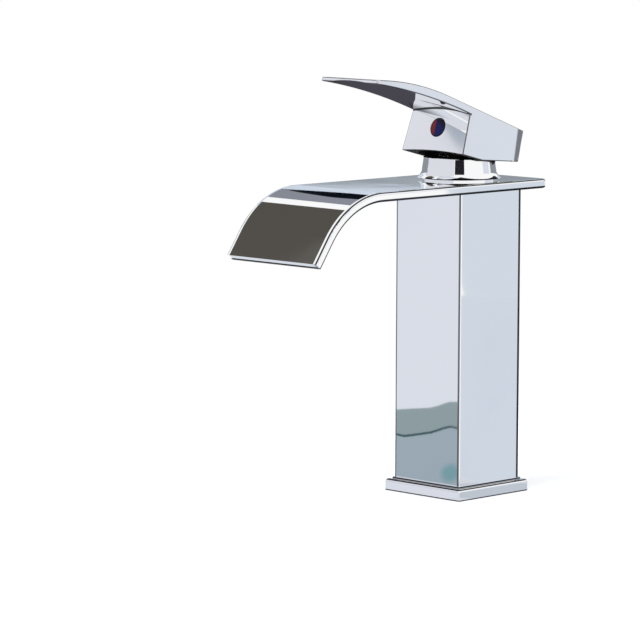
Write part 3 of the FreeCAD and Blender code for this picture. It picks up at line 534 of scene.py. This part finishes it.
def makeShadedBrass():  # the nut and stem under the lever, brass painted near-black as the shade under the lever
    finish = Finish("shadedBrass")
    stain = finish.stretch(*shadedBrass["stainRange"], finish.noise(*shadedBrass["stainNoise"]))
    return patchySurface(finish, shadedBrass, stain, stain)


indicator = {
    "hot": linear(150, 34, 30),
    "cold": linear(14, 26, 108),
    "rim": linear(16, 12, 30),
    "split": -0.0015,               # x of the line between red and blue
    "splitSoftness": 0.0004,
    "mottleNoise": (700.0, 3.0),
    "mottle": 0.3,
    "mottleRoughness": 0.08,
    "paintedShadeWay": (0.55, 0.0, 0.83),   # painted shade on the enamel, growing this way between these distances
    "paintedShadeRange": (0.0006, 0.0042),
    "rimRange": (0.00425, 0.00465),
    "roughness": 0.22,
    "shine": 0.18,
}


def makeIndicator():  # red and blue enamel in a dark ring, with painted shade towards the top right
    low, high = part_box("indicator_plug")
    finish = Finish("indicatorEnamel")
    offset = finish.vector("SUBTRACT", finish.place(), tuple((low + high) / 2))
    split, soft = indicator["split"], indicator["splitSoftness"]
    cold = finish.stretch(split - soft, split + soft, finish.axis(offset, "X"))
    mottle = finish.noise(*indicator["mottleNoise"])
    paintedShade = finish.stretch(*indicator["paintedShadeRange"], finish.reach(offset, indicator["paintedShadeWay"]))
    rim = finish.stretch(*indicator["rimRange"], finish.length(offset))
    paint = finish.blend(cold, indicator["hot"], indicator["cold"])
    for share in (mottle * indicator["mottle"], paintedShade, rim):
        paint = finish.blend(share, paint, indicator["rim"])
    return finish.surface(
        Base_Color=paint,
        Roughness=indicator["roughness"] + mottle * indicator["mottleRoughness"],
        Specular_IOR_Level=indicator["shine"],
    )


def dressNodes():
    finishes = {
        "chrome": makeChrome(),
        "brass": makeBrass(),
        "rubber": makeRubber(),
        "stainless": makeSteel(),
        "ceramic": makeCeramic(),
        "cartridge_plastic": makeCartridgePlastic(),
        "indicator": makeIndicator(),
    }
    shadedBrassFinish = makeShadedBrass()
    special = {
        "column_shell": makeColumnChrome(),
        "base_flange": makeFlangeChrome(),
        "spout_top_plate": makeSpoutChrome(),
        "spout_tray": makeTrayChrome(),
        "lever_handle": makeLeverChrome(),
        "cartridge_nut": shadedBrassFinish,
        "cartridge_stem": shadedBrassFinish,
    }
    slots = {part["node"]: part["material_slot"] for part in frame["record"]["subparts"]}
    for name, item in frame["nodes"].items():
        for materialSlot in item.material_slots:
            materialSlot.material = special.get(name, finishes[slots[name]])
    print("finishes on", len(frame["nodes"]), "solids")


studio = {
    "middle": (0.0, 0.0, 0.12),
    "floorSize": 14.0,
    "floorColour": (0.88, 0.88, 0.89),
    "floorLift": 0.30,        # added where the lens looks, so that the lit floor is white
    "paperRange": (0.20, 0.60),     # the floor fades to the white page between these distances
    "pageColour": (1.0, 1.0, 1.0),
    "roomColour": (0.97, 0.98, 1.0),
    "roomLevel": 0.62,
    "cardDistance": 6.0,
    "cardStep": 0.02,         # a later card stands this much nearer
    "cardCells": 24,          # each way, so that a card can bend
    "patchHeight": 0.0002,    # of the lowest patch on the floor
    "patchStep": 0.00005,     # a later one lies this much higher
    "plating": 0.95,          # what polished chrome gives back of a card's colour
}

# azimuth is counted from +X towards +Y; corners go low left, low right, high right, high left
skyCards = [
    ("frontAir", ((-172, -1), (-62, -1), (-62, 42), (-172, 42)), (219, 220, 228)),
    ("sideAir", ((28, -1), (58, -1), (58, 9), (28, 9)), (214, 219, 228)),
    ("rearGrey", ((60, -1), (205, -1), (205, 5.35), (60, 5.35)), (138, 145, 151)),
    ("bendLight", ((108, 5.35), (176, 5.35), (176, 23.4), (108, 23.4)), (203, 212, 226)),
    ("bendGrey", ((112, 23.4), (154.5, 23.4), (154.5, 50), (112, 50)), (134, 138, 149)),
    ("bendWedge", ((138.2, 19.8), (141.3, 23.4), (145.6, 31.5), (131.0, 27.0)), (12, 16, 24)),
    ("canopy", ((163.2, 35), (212, 33.5), (212, 49), (163.2, 50)), (82, 78, 73)),
    ("canopySheen", ((207.1, 33.5), (212, 33.5), (212, 49), (207.1, 49)), (94, 91, 87)),
    ("browShade", ((-137.25, 22.85), (-136.5, 22.5), (-136.3, 24.6), (-137.6, 24.2)),
     (160, 170, 182)),
]

# corners of a patch are azimuth and distance from the middle of the foot
floorSectors = [
    ("footRing", ((-180, 0.0), (180, 0.0), (180, 0.085), (-180, 0.085)), (212, 216, 224)),
    ("frontTint", ((-176, 0.0), (-62, 0.0), (-62, 3.4), (-176, 3.4)), (217, 221, 230)),
    ("sideTint", ((25, 0.0), (78, 0.0), (78, 0.9), (25, 0.9)), (206, 214, 225)),
    ("sideFar", ((45.4, 0.9), (78, 0.9), (78, 2.4), (45.4, 2.4)), (208, 216, 226)),
    ("sideNear", ((-30, 0.0), (95, 0.0), (95, 0.056), (-30, 0.056)), (190, 197, 206)),
    ("rearShade", ((98, 0.06), (162, 0.06), (162, 1.4), (98, 1.4)), (70, 68, 76)),
    ("rearRight", ((50, 0.10), (98, 0.10), (98, 0.9), (50, 0.9)), (88, 90, 98)),
]

# a narrow dark strip close to the bonnet, whose corners are azimuth and height
lensStrip = {
    "corners": ((-59, 0.1872), (-32, 0.1872), (-32, 0.2002), (-59, 0.2002)),
    "distance": 0.13,
    "colour": (34, 32, 38),
}

hungCards = []


def stageMesh(name, points, faces, material):
    mesh = bpy.data.meshes.new(name)
    mesh.from_pydata([tuple(point) for point in points], [], faces)
    mesh.update()
    mesh.materials.append(material)
    item = bpy.data.objects.new(name, mesh)
    bpy.context.scene.collection.objects.link(item)
    return item


def flatCard(name, points, faces, colour):  # shows in polished metal and nowhere else
    finish = Finish(name)
    seen = [min(part / studio["plating"], 1.0) for part in linear(*colour)]
    item = stageMesh(name, points, faces, finish.show(finish.emission(seen)))
    item.visible_camera = False
    item.visible_diffuse = False
    item.visible_shadow = False
    item.visible_transmission = False
    hungCards.append(item)


def between(first, second, share):
    return [a + (b - a) * share for a, b in zip(first, second)]


def bentCard(name, corners, colour, place):  # place turns a point between the corners into space
    cells = studio["cardCells"]
    points, faces = [], []
    for row in range(cells + 1):
        for column in range(cells + 1):
            near = between(corners[0], corners[1], column / cells)
            far = between(corners[3], corners[2], column / cells)
            points.append(place(*between(near, far, row / cells)))
    for row in range(cells):
        for column in range(cells):
            first = row * (cells + 1) + column
            faces.append((first, first + 1, first + cells + 2, first + cells + 1))
    flatCard(name, points, faces, colour)


def skyward(azimuth, elevation, distance=1.0):
    turn, rise = math.radians(azimuth), math.radians(elevation)
    level = math.cos(rise)
    return Vector((math.cos(turn) * level, math.sin(turn) * level, math.sin(rise))) * distance


def patchLift(order):
    return studio["patchHeight"] + order * studio["patchStep"]


def hangCards():
    middle = Vector(studio["middle"])
    for order, (name, corners, colour) in enumerate(skyCards):
        distance = studio["cardDistance"] - order * studio["cardStep"]
        bentCard(name, corners, colour, lambda azimuth, elevation:
                 middle + skyward(azimuth, elevation, distance))
    for order, (name, corners, colour) in enumerate(floorSectors):
        lift = Vector((0, 0, patchLift(order)))
        bentCard(name, corners, colour, lambda azimuth, radius:
                 skyward(azimuth, 0, radius) + lift)
    bentCard("lensStrip", lensStrip["corners"], lensStrip["colour"], lambda azimuth, height:
             skyward(azimuth, 0, lensStrip["distance"]) + Vector((0, 0, height)))


# flat patches on the floor, which the front of the column mirrors as a basin
basin = {
    "far": ((-0.242, -0.176), (-0.217, -0.225), (-0.215, -0.229), (-0.212, -0.236),
            (-0.208, -0.246), (-0.210, -0.255), (-0.214, -0.265), (-0.216, -0.272),
            (-0.213, -0.275), (-0.202, -0.286)),
    "rim": ((-0.161, -0.125), (-0.151, -0.157), (-0.142, -0.155), (-0.141, -0.160),
            (-0.141, -0.167), (-0.141, -0.176), (-0.144, -0.185), (-0.147, -0.193),
            (-0.148, -0.200), (-0.141, -0.198), (-0.131, -0.215)),
    "near": ((0.03, -0.05), (-0.05, -0.05)),
    "rimWidth": 0.006,
    "upper": (141, 156, 160),
    "lower": (155, 169, 179),
    "rimColour": (66, 88, 92),
    "drain": ((-0.036, -0.079), 0.035, 0.0056, 48.0),  # middle, half length and width, degrees
    "drainColour": (120, 156, 164),
    "drainShares": (1.0, 0.8, 0.6),     # ovals inside one another, each darker
    "drainCorners": 32,
    "layer": 6,                         # of its first patch, counted up from the floor
}


def ribbon(line, width):  # the outline of a thin band that follows a line
    there = [(x - width / 2, y - width / 2) for x, y in line]
    back = [(x + width / 2, y + width / 2) for x, y in reversed(line)]
    return there + back


def oval(middle, length, width, turn, share):
    side, ahead = math.cos(math.radians(turn)), math.sin(math.radians(turn))
    points = []
    for step in range(basin["drainCorners"]):
        angle = step / basin["drainCorners"] * math.tau
        east, north = math.cos(angle) * length * share, math.sin(angle) * width * share
        points.append((middle[0] + east * side - north * ahead,
                       middle[1] + east * ahead + north * side))
    return points


def layBasin():
    patches = [
        ("basinUpper", [*basin["far"], *basin["near"]], basin["upper"]),
        ("basinLower", [*basin["rim"], *basin["near"]], basin["lower"]),
        ("basinRim", ribbon(basin["rim"], basin["rimWidth"]), basin["rimColour"]),
    ]
    for order, share in enumerate(basin["drainShares"]):
        darker = (order + 1) / len(basin["drainShares"])
        colour = between(basin["lower"], basin["drainColour"], darker)
        patches.append(("basinDrain" + str(order), oval(*basin["drain"], share), colour))
    for order, (name, outline, colour) in enumerate(patches):
        lift = patchLift(basin["layer"] + order)
        points = [(x, y, lift) for x, y in outline]
        flatCard(name, points, [tuple(range(len(points)))], colour)


def layFloor():  # lit and shadowed near the tap, and the white page further out and in mirrors
    finish = Finish("paleFloor")
    diffuse = finish.node("ShaderNodeBsdfDiffuse", None, {"Color": studio["floorColour"]})
    lift = finish.emission(studio["pageColour"], studio["floorLift"])
    lit = finish.node("ShaderNodeAddShader", None, {0: diffuse, 1: lift})
    page = finish.emission(studio["pageColour"])
    paper = finish.stretch(*studio["paperRange"], finish.length(finish.place()))
    seen = finish.mixShader(finish.ray("Camera"), diffuse, finish.mixShader(paper, lit, page))
    mirrored = finish.ray("Glossy") + finish.ray("Transmission")
    half = studio["floorSize"] / 2
    stageMesh("floor", [(-half, -half, 0), (half, -half, 0), (half, half, 0), (-half, half, 0)],
              [(0, 1, 2, 3)], finish.show(finish.mixShader(mirrored, seen, page)))


def fillAir():  # a room that lights the tap, and shows as the white page
    air = Finish("studioAir", "World")
    room = air.node("ShaderNodeBackground", None,
                    {"Color": studio["roomColour"], "Strength": studio["roomLevel"]})
    page = air.node("ShaderNodeBackground", None, {"Color": studio["pageColour"], "Strength": 1.0})
    shows = air.ray("Camera") + air.ray("Glossy") + air.ray("Transmission")
    bpy.context.scene.world = air.show(air.mixShader(shows, room, page))


def buildStudio():
    layFloor()
    fillAir()
    hangCards()
    layBasin()
    print("studio built:", len(hungCards), "reflection cards")


lamps = [
    # name, azimuth, elevation, distance, size, watts
    ("keyLamp", -100.0, 58.0, 1.6, 0.9, 16.0),
    ("fillLamp", 20.0, 40.0, 1.8, 1.1, 8.0),
]


def hangLamps():
    for name, azimuth, elevation, distance, size, watts in lamps:
        light = bpy.data.lights.new(name, "AREA")
        light.shape = "SQUARE"
        light.size = size
        light.energy = watts
        lamp = bpy.data.objects.new(name, light)
        bpy.context.scene.collection.objects.link(lamp)
        aim = skyward(azimuth, elevation)
        lamp.location = Vector(studio["middle"]) + aim * distance
        lamp.rotation_euler = aim.to_track_quat("Z", "Y").to_euler()
        lamp.visible_glossy = False
    print("lamps hung")


lens = {
    "azimuth": 44.896,      # degrees from the front towards the right
    "elevation": 6.946,
    "roll": 0.234,
    "aim": (0.0, 0.0, 0.1),
    "distance": 1.93594,
    "shiftRight": -0.07021,
    "shiftUp": -0.01247,
    "pixels": 3800.069,     # focal length in pixels of a 640 px frame
    "frame": 640,
    "film": 36.0,
    "clip": 100.0,
}


def placeCamera():
    azimuth, elevation, roll = (math.radians(lens[key]) for key in ("azimuth", "elevation", "roll"))
    level = math.cos(elevation)
    back = Vector((math.sin(azimuth) * level, -math.cos(azimuth) * level, math.sin(elevation)))
    right = Vector((math.cos(azimuth), math.sin(azimuth), 0))
    up = back.cross(right).normalized()
    place = Vector(lens["aim"]) + back * lens["distance"]
    place = place + right * lens["shiftRight"] + up * lens["shiftUp"]
    sideways = right * math.cos(roll) + up * math.sin(roll)
    upright = up * math.cos(roll) - right * math.sin(roll)
    data = bpy.data.cameras.new("photoLens")
    data.sensor_width = lens["film"]
    data.lens = lens["pixels"] / lens["frame"] * lens["film"]
    data.clip_end = lens["clip"]
    camera = bpy.data.objects.new("photoLens", data)
    bpy.context.scene.collection.objects.link(camera)
    camera.matrix_world = Matrix((sideways, upright, back)).transposed().to_4x4()
    camera.matrix_world.translation = place
    bpy.context.scene.camera = camera
    bpy.context.scene.view_settings.view_transform = "Standard"
    print("camera placed", [round(part, 4) for part in place])


dressNodes()
buildStudio()
hangLamps()
placeCamera()
